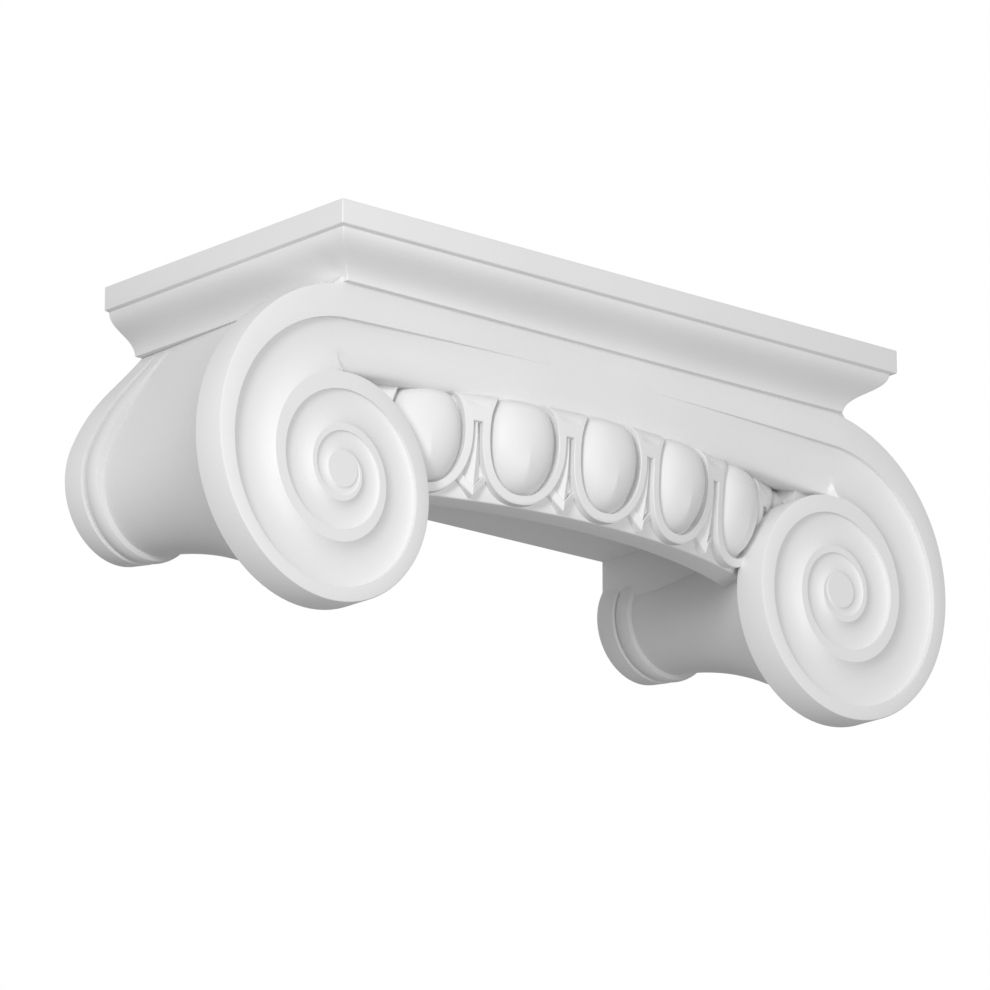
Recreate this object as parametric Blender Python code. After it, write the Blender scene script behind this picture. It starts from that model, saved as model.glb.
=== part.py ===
"""Half column capital in the Ionic manner, moulded in one piece.

Metres, +Z up. The wall is the plane y = 0 and the front looks along -Y. The
origin is on the flat back, midway across, level with the abacus' underside.
"""

import math

import bmesh
import bpy

# Abacus: the moulded plate on top
ABACUS_WIDTH = 0.300
ABACUS_DEPTH = 0.149
ABACUS_HEIGHT = 0.0262
FASCIA_HEIGHT = 0.010
FASCIA_STEP = 0.0022
FASCIA_LIP = 0.0004
ABACUS_INSET = 0.016
CYMA_STEPS = 8
# Handles of the cyma's curve, as shares of its width and height
CYMA_TOP_HANDLE = (0.045, 0.48)
CYMA_BOTTOM_HANDLE = (0.065, 0.50)

# Volutes and the channelled band that joins them
EYE_SETBACK = 0.0005
FACE_SETBACK = 0.0026
VOLUTE_RISE = 0.0759
EYE_RADIUS = 0.0073
RIM_DEPTH = 0.015
CHANNEL_DEPTH = 0.0042
BAND_DEPTH = 0.0215
BAND_PLAIN_SHARE = 0.1
BAND_END_STEP = 0.0012
# Across a winding: share of its width from the fillet, share of its depth
CHANNEL_PROFILE = ((0.0, 0.0), (0.05, 0.5), (0.25, 0.9), (0.52, 1.0), (0.8, 0.7))
# Under the band: share of the way down to the echinus, share of the way back to it
SOFFIT_PROFILE = ((0.55, 0.02), (0.8, 0.14), (0.93, 0.42))
# Radii at each quarter turn from the top, as shares of the volute's rise
TURN_SHARES = (1.0, 0.804, 0.710, 0.585, 0.526, 0.441, 0.388, 0.286, 0.242, 0.198, 0.172, 0.126)
FILLET_SHARES = (0.81, 0.709, 0.631, 0.491, 0.426, 0.378, 0.326, 0.246, 0.203, 0.171, 0.143, 0.114)
STEPS_PER_TURN = 32
BAND_COLUMNS = 13
# Turn at which a volute's edge reaches furthest in front of the echinus
FREE_TURN = 0.75
# Webs that close the crevices between the disks and the echinus
WEB_SCALE = 1.004

# Bolsters behind the volutes
NECK_SCALE = 0.445
COLLAR_SCALE = 0.50
GROOVE_SCALE = 0.465
MOUTH_SCALE = 0.935
FLARE_POWER = 2.2
NECK_SHIFT_OUT = 0.0048
NECK_SHIFT_UP = 0.0139
COLLAR_WIDTH = 0.0105
GROOVE_WIDTH = 0.0008
RING_WIDTH = 0.0088
SHOULDER_INSET = 0.003
SHOULDER_ANGLE = math.radians(53.0)
MOUTH_ANGLE = math.radians(12.0)
SHOULDER_TURN = 55 / 360
SHOULDER_HANDLES = (0.42, 0.38)
SHOULDER_STEPS = 7
ROLL_STEPS = 20
BOLSTER_STATIONS = 9
RING_STATIONS = 5
COLLAR_ROUND = 0.0006

# Socket for the top of the half column
SOCKET_WIDTH = 0.2388
CEILING_DROP = 0.0030

# Echinus: the curved moulding with eggs and darts
ECHINUS_RADIUS = 0.2496
ECHINUS_SETBACK = 0.0016
ECHINUS_HEIGHT = 0.0369
ECHINUS_RISE = 0.0055
ECHINUS_THICKNESS = 0.012
ECHINUS_FLARE = 0.0056
ECHINUS_SWELL_SHARE = 0.74
CREST_ROUND = 0.0050
CREST_STEP = 0.0002
CREST_SINK = 0.006
CREST_LAP = 0.0008
NOTCH_HEIGHT = 0.0025
EGG_PITCH = 0.0424
EGG_HALF_WIDTH = 0.0146
EGG_WAIST_DROP = 0.0168
EGG_CROWN = 0.0200
EGG_FOOT_GAP = 0.0047
EGG_BULGE = 0.0085
EGG_CREST_SHARE = 0.45
EGG_DOME_POWER = 2.2
EGG_AXIS_SHARE = 0.35
FRAME_GAP = 0.0012
FRAME_WIDTH = 0.0034
FRAME_FOOT_GAP = 0.0002
FRAME_END_SHARE = 0.3
FRAME_RELIEF = 0.0042
SLOT_TOP_DROP = 0.0123
SLOT_WIDTH = 0.0036
DART_WIDTH = 0.0058
DART_RELIEF = 0.0028
BARB_WIDTH = 0.0116
BARB_HEIGHT = 0.0060
BARB_BAND = 0.0032
DART_FOOT_GAP = 0.0006
DART_TOP_WIDTH = 0.0012
DART_TOP_RELIEF = 0.0016
DART_EDGE = 0.0003
OVAL_POWER = 2.25
EGG_SPOKES = 16
EGG_RINGS = 4
CREST_SPLIT = 0.4
# Where the frames' face bends from the egg's side to the slot's: across, down
FRAME_BENDS = ((0.0, 0.0), (0.45, 0.2), (0.75, 0.56), (1.0, 1.0))

# How far solids reach into each other before they are made one
SINK = 0.003
CORE_STEPS = 14

EYE_X = ABACUS_WIDTH / 2 - ABACUS_INSET - EYE_SETBACK
FACE_Y = -(ABACUS_DEPTH - ABACUS_INSET - FACE_SETBACK)
EYE_Z = -VOLUTE_RISE
BAND_BOTTOM = EYE_Z + VOLUTE_RISE * TURN_SHARES[4]
CEILING_Z = BAND_BOTTOM - CEILING_DROP
SOCKET_HALF = SOCKET_WIDTH / 2
TURNS = len(TURN_SHARES) / 4
ECHINUS_CENTRE_Y = ECHINUS_RADIUS + FACE_Y + ECHINUS_SETBACK
ECHINUS_TOP = BAND_BOTTOM + ECHINUS_RISE
CREST_RADIUS = ECHINUS_RADIUS + FRAME_RELIEF
FRAME_CREST = ECHINUS_TOP + CREST_STEP
EGG_CREST = FRAME_CREST + CREST_STEP
ECHINUS_BOTTOM = BAND_BOTTOM - ECHINUS_HEIGHT
PITCH_ANGLE = EGG_PITCH / (ECHINUS_RADIUS + ECHINUS_FLARE)
CELLS_EACH_SIDE = math.ceil(math.asin(EYE_X / ECHINUS_RADIUS) / PITCH_ANGLE - 0.5)


def clear_scene():
    for item in list(bpy.data.objects):
        bpy.data.objects.remove(item, do_unlink=True)


def lerp(a, b, t):
    return a + (b - a) * t


def smooth(t):
    t = min(max(t, 0.0), 1.0)
    return t * t * (3 - 2 * t)


def bezier(p0, p1, p2, p3, t):
    """Point of a cubic curve in two dimensions."""
    s = 1 - t
    weights = (s * s * s, 3 * s * s * t, 3 * s * t * t, t * t * t)
    return tuple(sum(w * p[k] for w, p in zip(weights, (p0, p1, p2, p3))) for k in (0, 1))


def make_solid(name, verts, faces):
    """Closed mesh object with its faces turned outwards."""
    mesh = bpy.data.meshes.new(name)
    mesh.from_pydata(verts, [], faces)
    bm = bmesh.new()
    bm.from_mesh(mesh)
    bmesh.ops.remove_doubles(bm, verts=bm.verts, dist=1e-6)
    bmesh.ops.recalc_face_normals(bm, faces=bm.faces)
    bm.to_mesh(mesh)
    bm.free()
    item = bpy.data.objects.new(name, mesh)
    bpy.context.scene.collection.objects.link(item)
    return item


def loft(rings):
    """Vertices and faces of a solid through closed rings of equal length."""
    count = len(rings[0])
    verts = [point for ring in rings for point in ring]
    faces = []
    for r in range(len(rings) - 1):
        for k in range(count):
            n = (k + 1) % count
            faces.append((r * count + k, r * count + n, (r + 1) * count + n, (r + 1) * count + k))
    faces.append(tuple(range(count)))
    faces.append(tuple(range((len(rings) - 1) * count, len(rings) * count)))
    return verts, faces


def quarter_curve(shares, turn):
    """Smooth spiral radius through the shares given at each quarter turn."""
    logs = [math.log(s * VOLUTE_RISE) for s in shares] + [math.log(EYE_RADIUS)]
    position = min(max(turn * 4, 0.0), len(logs) - 1)
    k = min(int(position), len(logs) - 2)
    t = position - k
    p0 = logs[max(k - 1, 0)] if k else 2 * logs[0] - logs[1]
    p1, p2 = logs[k], logs[k + 1]
    p3 = logs[k + 2] if k + 2 < len(logs) else p2
    m1, m2 = (p2 - p0) / 2, (p3 - p1) / 2
    a = 2 * t ** 3 - 3 * t ** 2 + 1
    b = t ** 3 - 2 * t ** 2 + t
    c = -2 * t ** 3 + 3 * t ** 2
    d = t ** 3 - t ** 2
    return math.exp(a * p1 + b * m1 + c * p2 + d * m2)


def turn_radius(turn):
    """Outer edge of the fillet, turn counted from the top of the volute."""
    return quarter_curve(TURN_SHARES, turn)


def fillet_radius(turn):
    """Inner edge of the fillet, where the channel starts."""
    return min(quarter_curve(FILLET_SHARES, turn), turn_radius(turn))


def channel_rows(outer, fillet, inner):
    """(radius, depth) across one winding, from the fillet to the channel's end."""
    width = fillet - inner
    full = EYE_Z + VOLUTE_RISE * FILLET_SHARES[0] - BAND_BOTTOM
    depth = CHANNEL_DEPTH * width / full
    return [(outer, 0.0)] + [(fillet - width * u, depth * d) for u, d in CHANNEL_PROFILE]


def crest_front(x):
    """How far in front of the wall the echinus' crest stands at x."""
    return ECHINUS_CENTRE_Y - math.sqrt(max(CREST_RADIUS ** 2 - x ** 2, 0.0))


def band_column(x, end_rows):
    """(y, z) down the band at x: fillet, channel, then back to the echinus."""
    fade = smooth((abs(x) / EYE_X - BAND_PLAIN_SHARE) / (1 - BAND_PLAIN_SHARE))
    rows = [(FACE_Y + depth * fade, z) for depth, z in end_rows]
    y, z = rows[-1]
    z_end = ECHINUS_TOP - CREST_LAP
    y_end = max(crest_front(x), FACE_Y) + CREST_SINK
    y_end = min(y_end, FACE_Y + BAND_DEPTH - CREST_STEP)
    rows += [(lerp(y, y_end, back), lerp(z, z_end, down)) for down, back in SOFFIT_PROFILE]
    return rows + [(y_end, z_end)]


def front_plate():
    """Both volutes and the band between them, with the spiral channels."""
    per_turn = STEPS_PER_TURN
    last = round(TURNS * per_turn)
    verts = []
    faces = []
    sides = {}
    rows = None
    for side in (-1, 1):
        table = []
        for i in range(last):
            turn = i / per_turn
            outer = turn_radius(turn)
            inner = turn_radius(turn + 1) if turn + 1 <= TURNS else EYE_RADIUS
            rows = channel_rows(outer, fillet_radius(turn), inner)
            if i == 0:
                rows[0] = (outer + SINK, 0.0)
            column = []
            for radius, depth in rows:
                x = side * (EYE_X + radius * math.sin(2 * math.pi * turn))
                z = EYE_Z + radius * math.cos(2 * math.pi * turn)
                column.append(len(verts))
                verts.append((x, FACE_Y + depth, z))
            table.append(column)
        eye = []
        for i in range(per_turn):
            angle = 2 * math.pi * i / per_turn
            eye.append(len(verts))
            x = side * (EYE_X + EYE_RADIUS * math.sin(angle))
            verts.append((x, FACE_Y, EYE_Z + EYE_RADIUS * math.cos(angle)))
        sides[side] = (table, eye)
        faces.append(tuple(eye))

    row_count = len(rows)

    def vertex(side, i, j):
        table, eye = sides[side]
        if i >= last:
            return eye[i % per_turn]
        if j < row_count:
            return table[i][j]
        return table[i + per_turn][0] if i + per_turn < last else eye[i % per_turn]

    def add(corners):
        loop = []
        for corner in corners:
            if corner not in loop:
                loop.append(corner)
        if len(loop) > 2:
            faces.append(tuple(loop))

    for side in (-1, 1):
        for i in range(last):
            for j in range(row_count):
                a, b = vertex(side, i, j), vertex(side, i + 1, j)
                c, d = vertex(side, i + 1, j + 1), vertex(side, i, j + 1)
                add((a, b, c, d))

    def end_column(side):
        column = [vertex(side, 0, j) for j in range(row_count + 1)]
        return column + [column[-1]] * (len(SOFFIT_PROFILE) - 1)

    columns = [end_column(-1)]
    end_rows = [(verts[k][1] - FACE_Y, verts[k][2]) for k in columns[0][:row_count - 1]]
    reach = EYE_X - BAND_END_STEP
    for q in range(BAND_COLUMNS + 1):
        x = lerp(-reach, reach, q / BAND_COLUMNS)
        column = []
        for y, z in band_column(x, end_rows):
            column.append(len(verts))
            verts.append((x, y, z))
        columns.append(column)
    columns.append(end_column(1))
    for left, right in zip(columns, columns[1:]):
        for j in range(len(left) - 1):
            add((left[j], right[j], right[j + 1], left[j + 1]))

    def behind(vert, depth):
        x, _, z = verts[vert]
        verts.append((x, FACE_Y + depth, z))
        return len(verts) - 1

    for side in (-1, 1):
        rim = [vertex(side, i, 0) for i in range(per_turn + 1)]
        back = [behind(vert, RIM_DEPTH) for vert in rim]
        for k in range(per_turn):
            faces.append((rim[k], rim[k + 1], back[k + 1], back[k]))
        faces.append(tuple(back))
        column = columns[0] if side < 0 else columns[-1]
        sides[side] = (rim, back, behind(column[0], BAND_DEPTH), behind(column[-1], BAND_DEPTH))
        faces.append((back[0], back[-1], sides[side][3], sides[side][2]))
    tops = [behind(column[0], BAND_DEPTH) for column in columns[1:-1]]
    lows = [behind(column[-1], BAND_DEPTH) for column in columns[1:-1]]
    tops = [sides[-1][2]] + tops + [sides[1][2]]
    lows = [sides[-1][3]] + lows + [sides[1][3]]
    for k in range(len(columns) - 1):
        front_top = [columns[k][0], columns[k + 1][0]]
        front_low = [columns[k][-1], columns[k + 1][-1]]
        near_top, near_low = [], []
        if k == 0:
            near_top, near_low = [sides[-1][1][0]], [sides[-1][1][-1]]
        far_top, far_low = [], []
        if k == len(columns) - 2:
            far_top, far_low = [sides[1][1][0]], [sides[1][1][-1]]
        faces.append(tuple(front_top + far_top + [tops[k + 1], tops[k]] + near_top))
        faces.append(tuple(front_low + far_low + [lows[k + 1], lows[k]] + near_low))
        faces.append((tops[k], tops[k + 1], lows[k + 1], lows[k]))
    return make_solid("front_plate", verts, faces)


def bolster_section(y, scale, side):
    """Section of a bolster: shoulder under the abacus, roll, socket wall."""
    reach = -(FACE_Y + RIM_DEPTH)
    run = min(max(-y / reach, 0.0), 1.0)
    cx = lerp(EYE_X + NECK_SHIFT_OUT, EYE_X, run)
    cz = lerp(EYE_Z + NECK_SHIFT_UP, EYE_Z, run)
    flare = max(scale - NECK_SCALE, 0.0) / (MOUTH_SCALE - NECK_SCALE)

    def outline(turn):
        radius = turn_radius(turn) * scale
        return cx + radius * math.sin(2 * math.pi * turn), cz + radius * math.cos(2 * math.pi * turn)

    start = SHOULDER_TURN
    end = 1.0
    while end > 0.75 and outline(end)[0] > SOCKET_HALF:
        end -= 0.002
    high = outline(start)
    ahead = outline(start + 0.01)
    slope = math.hypot(ahead[0] - high[0], ahead[1] - high[1])
    tangent = ((ahead[0] - high[0]) / slope, (ahead[1] - high[1]) / slope)
    foot_x = lerp(EYE_X - SHOULDER_INSET, EYE_X + SHOULDER_INSET / 2, run)
    foot = (max(foot_x, SOCKET_HALF + SHOULDER_INSET), 0.0)
    angle = lerp(SHOULDER_ANGLE, MOUTH_ANGLE, flare)
    span = math.hypot(high[0] - foot[0], high[1] - foot[1])
    low_pull, high_pull = (share * span for share in SHOULDER_HANDLES)
    first = (foot[0] + low_pull * math.cos(angle), foot[1] - low_pull * math.sin(angle))
    second = (high[0] - high_pull * tangent[0], high[1] - high_pull * tangent[1])
    points = [(SOCKET_HALF, SINK), (foot[0], SINK)]
    points += [bezier(foot, first, second, high, k / SHOULDER_STEPS) for k in range(SHOULDER_STEPS)]
    points += [outline(lerp(start, end, k / ROLL_STEPS)) for k in range(ROLL_STEPS)]
    points.append((SOCKET_HALF, outline(end)[1]))
    return [(side * x, y, z) for x, z in points]


def bolster(side):
    """Trumpet-shaped roll from the disk back to two bands at the wall."""
    ring_end = COLLAR_WIDTH + GROOVE_WIDTH + RING_WIDTH
    stations = [
        (SINK, COLLAR_SCALE),
        (-COLLAR_WIDTH + COLLAR_ROUND, COLLAR_SCALE),
        (-COLLAR_WIDTH, lerp(GROOVE_SCALE, COLLAR_SCALE, 0.5)),
        (-COLLAR_WIDTH - GROOVE_WIDTH / 4, GROOVE_SCALE),
        (-COLLAR_WIDTH - GROOVE_WIDTH, GROOVE_SCALE),
    ]
    for k in range(1, RING_STATIONS + 1):
        across = k / (RING_STATIONS + 1)
        bulge = math.sin(math.pi * across) ** 0.5
        scale = lerp(GROOVE_SCALE, COLLAR_SCALE, bulge)
        stations.append((-COLLAR_WIDTH - GROOVE_WIDTH - RING_WIDTH * across, scale))
    stations.append((-ring_end, NECK_SCALE))
    mouth = -(FACE_Y + RIM_DEPTH) + SINK
    for k in range(1, BOLSTER_STATIONS + 1):
        t = k / BOLSTER_STATIONS
        y = -lerp(ring_end, mouth, t)
        stations.append((y, lerp(NECK_SCALE, MOUTH_SCALE, t ** FLARE_POWER)))
    rings = [bolster_section(y, scale, side) for y, scale in stations]
    return make_solid("bolster", *loft(rings))


def web(side):
    """Filling between a disk's back and the echinus, in the disk's outline."""
    front = FACE_Y + RIM_DEPTH - SINK / 2
    radius = ECHINUS_RADIUS - ECHINUS_THICKNESS / 2
    edge = max(EYE_X, SOCKET_HALF + SINK)
    bottom = ECHINUS_BOTTOM + CREST_STEP
    levels = []
    turn = FREE_TURN
    x = 0.0
    while turn <= 1.0 and x < SOCKET_HALF:
        reach = turn_radius(turn) * WEB_SCALE
        x = EYE_X + reach * math.sin(2 * math.pi * turn)
        z = EYE_Z + reach * math.cos(2 * math.pi * turn)
        if turn == FREE_TURN or z > bottom:
            levels.append((x, max(z, bottom)))
        turn += 1 / STEPS_PER_TURN
    rings = []
    for start, z in levels:
        ring = [(side * edge, front, z), (side * start, front, z)]
        for k in range(CORE_STEPS + 1):
            x = lerp(start, edge, k / CORE_STEPS)
            ring.append((side * x, ECHINUS_CENTRE_Y - math.sqrt(radius ** 2 - x ** 2), z))
        rings.append(ring)
    return make_solid("web", *loft(rings))


def abacus():
    """Plate with a vertical fascia over a cyma that runs round three sides."""
    profile = [(0.0, ABACUS_HEIGHT), (0.0, ABACUS_HEIGHT - FASCIA_HEIGHT)]
    top = (FASCIA_STEP, ABACUS_HEIGHT - FASCIA_HEIGHT - FASCIA_LIP)
    bottom = (ABACUS_INSET, 0.0)
    height = top[1] - bottom[1]
    width = bottom[0] - top[0]
    first = (top[0] + CYMA_TOP_HANDLE[0] * width, top[1] - CYMA_TOP_HANDLE[1] * height)
    second = (bottom[0] - CYMA_BOTTOM_HANDLE[0] * width, bottom[1] + CYMA_BOTTOM_HANDLE[1] * height)
    profile += [bezier(top, first, second, bottom, k / CYMA_STEPS) for k in range(CYMA_STEPS + 1)]
    rings = []
    for inset, z in profile:
        x = ABACUS_WIDTH / 2 - inset
        y = -(ABACUS_DEPTH - inset)
        rings.append([(-x, SINK, z), (-x, y, z), (x, y, z), (x, SINK, z)])
    return make_solid("abacus", *loft(rings))


def core_above():
    """Body between the bolsters, from the echinus' crest up to the abacus."""
    x = SOCKET_HALF + SINK / 2
    front = FACE_Y + BAND_DEPTH - SINK
    rings = []
    for z in (SINK, ECHINUS_TOP + NOTCH_HEIGHT):
        rings.append([(-x, SINK, z), (-x, front, z), (x, front, z), (x, SINK, z)])
    return make_solid("core_above", *loft(rings))


def core_below():
    """Body behind the echinus; its underside is the socket's ceiling."""
    edge = SOCKET_HALF + SINK / 2
    radius = ECHINUS_RADIUS - ECHINUS_THICKNESS / 2
    rings = []
    for z in (ECHINUS_TOP + NOTCH_HEIGHT + SINK, CEILING_Z):
        ring = [(edge, SINK, z), (-edge, SINK, z)]
        for k in range(CORE_STEPS + 1):
            x = lerp(-edge, edge, k / CORE_STEPS)
            ring.append((x, ECHINUS_CENTRE_Y - math.sqrt(radius ** 2 - x ** 2), z))
        rings.append(ring)
    return make_solid("core_below", *loft(rings))


def crest_fall(z):
    """Share by which the crest has rounded back at z, 0 below the rounding."""
    up = min(max((z - ECHINUS_TOP) / CREST_ROUND + 1, 0.0), 1.0)
    return 1 - math.sqrt(1 - up * up)


def ground_radius(z):
    """Radius of the echinus' ground, which swells from the foot and rounds back."""
    rise = (z - ECHINUS_BOTTOM) / (ECHINUS_TOP - ECHINUS_BOTTOM)
    swell = math.sin(0.5 * math.pi * min(max(rise / ECHINUS_SWELL_SHARE, 0.0), 1.0))
    return ECHINUS_RADIUS + ECHINUS_FLARE * (swell - crest_fall(z))


def on_echinus(centre, arc, z, height):
    """World point: arc length from a cell's centre, level and relief height."""
    radius = ground_radius(z)
    angle = centre + arc / (ECHINUS_RADIUS + ECHINUS_FLARE)
    radius += height
    return (radius * math.sin(angle), ECHINUS_CENTRE_Y - radius * math.cos(angle), z)


def echinus_ring():
    """Plain curved wall that carries the ornament."""
    reach = (CELLS_EACH_SIDE + 0.5) * PITCH_ANGLE
    steps = (2 * CELLS_EACH_SIDE + 1) * 4 + 1
    inner = ECHINUS_RADIUS - ECHINUS_THICKNESS
    levels = [lerp(ECHINUS_BOTTOM, ECHINUS_TOP - CREST_ROUND, k / 4) for k in range(5)]
    levels += [ECHINUS_TOP - CREST_ROUND * share for share in (0.4, 0.1, 0.0)]
    rings = []
    for s in range(steps + 1):
        angle = lerp(-reach, reach, s / steps)
        ring = [on_echinus(angle, 0.0, z, 0.0) for z in levels]
        for z in (ECHINUS_TOP, ECHINUS_BOTTOM):
            ring.append((inner * math.sin(angle), ECHINUS_CENTRE_Y - inner * math.cos(angle), z))
        rings.append(ring)
    return make_solid("echinus_ring", *loft(rings))


def oval(half_width, crown, foot, crest, t):
    """Point of an egg-shaped curve cut off at its crest, from there round its foot."""
    waist = ECHINUS_TOP - EGG_WAIST_DROP
    open_angle = math.asin(min((crest - waist) / crown, 1.0) ** (OVAL_POWER / 2))
    angle = lerp(math.pi - open_angle, 2 * math.pi + open_angle, t)
    c, s = math.cos(angle), math.sin(angle)
    x = math.copysign(abs(c) ** (2 / OVAL_POWER), c) * half_width
    reach = crown if s > 0 else waist - foot
    return x, waist + math.copysign(abs(s) ** (2 / OVAL_POWER), s) * reach


def egg(centre):
    """Closed dome, cut level with the echinus' top."""
    foot = ECHINUS_BOTTOM + EGG_FOOT_GAP
    waist = ECHINUS_TOP - EGG_WAIST_DROP
    low = lerp(waist, foot, EGG_AXIS_SHARE)
    verts = []
    table = []
    for r in range(EGG_RINGS + 1):
        share = math.sin(0.5 * math.pi * r / EGG_RINGS)
        height = EGG_BULGE * (1 - share ** EGG_DOME_POWER) ** 0.5
        row = []
        for k in range(EGG_SPOKES + 1):
            t = k / EGG_SPOKES
            x, z = oval(EGG_HALF_WIDTH, EGG_CROWN, foot, EGG_CREST, t)
            axis = lerp(EGG_CREST, low, 1 - abs(2 * t - 1))
            z = lerp(axis, z, share)
            up = max(z - waist, 0.0) / (EGG_CREST - waist)
            keep = 1 - (1 - EGG_CREST_SHARE) * up * up
            row.append(len(verts))
            verts.append(on_echinus(centre, x * share, z, height * keep))
        table.append(row)
    hidden = []
    for k in range(EGG_SPOKES + 1):
        x, z = oval(EGG_HALF_WIDTH, EGG_CROWN, foot, EGG_CREST, k / EGG_SPOKES)
        hidden.append(len(verts))
        verts.append(on_echinus(centre, x, z, -SINK))
    table.append(hidden)
    faces = []
    for upper, lower in zip(table, table[1:]):
        for k in range(EGG_SPOKES):
            faces.append((upper[k], upper[k + 1], lower[k + 1], lower[k]))
    faces.append(tuple(hidden))
    left = [row[0] for row in table]
    right = [row[-1] for row in table[1:]]
    faces.append(tuple(reversed(left)) + tuple(right))
    return verts, faces


def frames():
    """One raised band that loops under every egg and bridges between them."""
    half_pitch = EGG_PITCH / 2
    inner_half = EGG_HALF_WIDTH + FRAME_GAP
    outer_half = min(inner_half + FRAME_WIDTH, half_pitch - SLOT_WIDTH / 2)
    foot = ECHINUS_BOTTOM + FRAME_FOOT_GAP
    waist = ECHINUS_TOP - EGG_WAIST_DROP
    slot_top = ECHINUS_TOP - SLOT_TOP_DROP
    places = [k / EGG_SPOKES for k in range(EGG_SPOKES + 1)]
    places.insert(1, CREST_SPLIT / EGG_SPOKES)
    places.insert(-1, 1 - CREST_SPLIT / EGG_SPOKES)
    rings = []
    for cell in range(-CELLS_EACH_SIDE, CELLS_EACH_SIDE + 1):
        centre = cell * PITCH_ANGLE
        for t in places:
            beyond = (t > 0.5) == (cell > 0) and abs(t - 0.5) > FRAME_END_SHARE
            if abs(cell) == CELLS_EACH_SIDE and beyond:
                continue
            inner = oval(inner_half, EGG_CROWN + FRAME_GAP, foot + FRAME_WIDTH, FRAME_CREST, t)
            outer = oval(outer_half, EGG_CROWN + FRAME_WIDTH, foot, FRAME_CREST, t)
            if outer[1] > waist:
                share = (outer[1] - waist) / (FRAME_CREST - waist)
                outer = (math.copysign(outer_half, outer[0]), lerp(waist, slot_top, share))
            face = [(lerp(inner[0], outer[0], u), lerp(inner[1], outer[1], v)) for u, v in FRAME_BENDS]
            ring = [on_echinus(centre, x, z, FRAME_RELIEF) for x, z in face]
            ring += [on_echinus(centre, x, z, -SINK) for x, z in (outer, inner)]
            rings.append(ring)
    return make_solid("frames", *loft(rings))


def is_free(centre):
    """True where the echinus stands free between the two volutes."""
    return abs(CREST_RADIUS * math.sin(centre)) < EYE_X - turn_radius(FREE_TURN)


def dart(centre):
    """Ridged shaft in the slot, wider towards its foot."""
    tip = ECHINUS_BOTTOM + DART_FOOT_GAP
    barb = tip + BARB_HEIGHT
    top = ECHINUS_TOP - SLOT_TOP_DROP + SINK
    notch = (0.0, tip + BARB_BAND)
    base = [
        (-DART_TOP_WIDTH / 2, top), (-DART_WIDTH / 2, barb), notch,
        (DART_WIDTH / 2, barb), (DART_TOP_WIDTH / 2, top),
    ]
    verts = [on_echinus(centre, x, z, -SINK) for x, z in base]
    verts += [on_echinus(centre, x, z, DART_EDGE) for x, z in base]
    verts.append(on_echinus(centre, 0.0, top, DART_TOP_RELIEF))
    verts.append(on_echinus(centre, *notch, DART_RELIEF))
    faces = [(0, 1, 2, 3, 4)]
    faces += [(k, (k + 1) % 5, (k + 1) % 5 + 5, k + 5) for k in range(5)]
    faces += [(5, 6, 11, 10), (6, 7, 11), (7, 8, 11), (8, 9, 10, 11), (9, 5, 10)]
    return verts, faces


def dart_head(centre):
    """Chevron under the shaft: two sloped wings that meet in a point."""
    tip = ECHINUS_BOTTOM + DART_FOOT_GAP
    barb = tip + BARB_HEIGHT
    half = BARB_WIDTH / 2
    rings = []
    for x, low in ((-half, barb), (0.0, tip), (half, barb)):
        high = low + BARB_BAND
        ring = [
            on_echinus(centre, x, low, -SINK),
            on_echinus(centre, x, low, DART_EDGE),
            on_echinus(centre, x, (low + high) / 2, DART_RELIEF),
            on_echinus(centre, x, high, DART_EDGE),
            on_echinus(centre, x, high, -SINK),
        ]
        rings.append(ring)
    return loft(rings)


def gathered(name, solids):
    """Several separate closed solids as one object."""
    verts = []
    faces = []
    for part_verts, part_faces in solids:
        base = len(verts)
        verts += part_verts
        faces += [tuple(base + k for k in face) for face in part_faces]
    return make_solid(name, verts, faces)


def wall_cutter():
    """Block behind the wall plane that leaves the back flat."""
    x = ABACUS_WIDTH
    rings = []
    for z in (-3 * VOLUTE_RISE, 2 * ABACUS_HEIGHT):
        rings.append([(-x, 0.0, z), (x, 0.0, z), (x, 4 * SINK, z), (-x, 4 * SINK, z)])
    return make_solid("wall_cutter", *loft(rings))


def as_guides(tools):
    """Collection of hidden guides that a Boolean reads as one operand."""
    group = bpy.data.collections.new("guides")
    for tool in tools:
        tool.hide_render = True
        tool.display_type = "WIRE"
        group.objects.link(tool)
    return group


def combine(target, tools, operation):
    """Exact Boolean of the target with all the tools at once."""
    modifier = target.modifiers.new(operation.lower(), "BOOLEAN")
    modifier.operation = operation
    modifier.solver = "EXACT"
    modifier.operand_type = "COLLECTION"
    modifier.collection = as_guides(tools)


def plaster_white():
    material = bpy.data.materials.new("moulded_white")
    material.use_nodes = True
    shader = material.node_tree.nodes["Principled BSDF"]
    shader.inputs["Base Color"].default_value = (0.86, 0.86, 0.86, 1.0)
    shader.inputs["Roughness"].default_value = 0.6
    shader.inputs["Metallic"].default_value = 0.0
    return material


def build():
    clear_scene()
    capital = abacus()
    capital.name = "half_capital"
    cells = range(-CELLS_EACH_SIDE, CELLS_EACH_SIDE + 1)
    egg_centres = [cell * PITCH_ANGLE for cell in cells]
    eggs = [egg(centre) for centre in egg_centres if is_free(centre)]
    dart_centres = [centre + PITCH_ANGLE / 2 for centre in egg_centres]
    darts = [dart(centre) for centre in dart_centres if is_free(centre)]
    heads = [dart_head(centre) for centre in dart_centres if is_free(centre)]
    tools = [core_above(), core_below(), front_plate(), echinus_ring(), frames()]
    tools += [bolster(side) for side in (-1, 1)]
    tools += [web(side) for side in (-1, 1)]
    tools.append(gathered("eggs", eggs))
    tools.append(gathered("darts", darts))
    tools.append(gathered("dart_heads", heads))
    combine(capital, tools, "UNION")
    combine(capital, [wall_cutter()], "DIFFERENCE")
    capital.data.materials.append(plaster_white())
    for polygon in capital.data.polygons:
        polygon.use_smooth = False


build()
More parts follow.
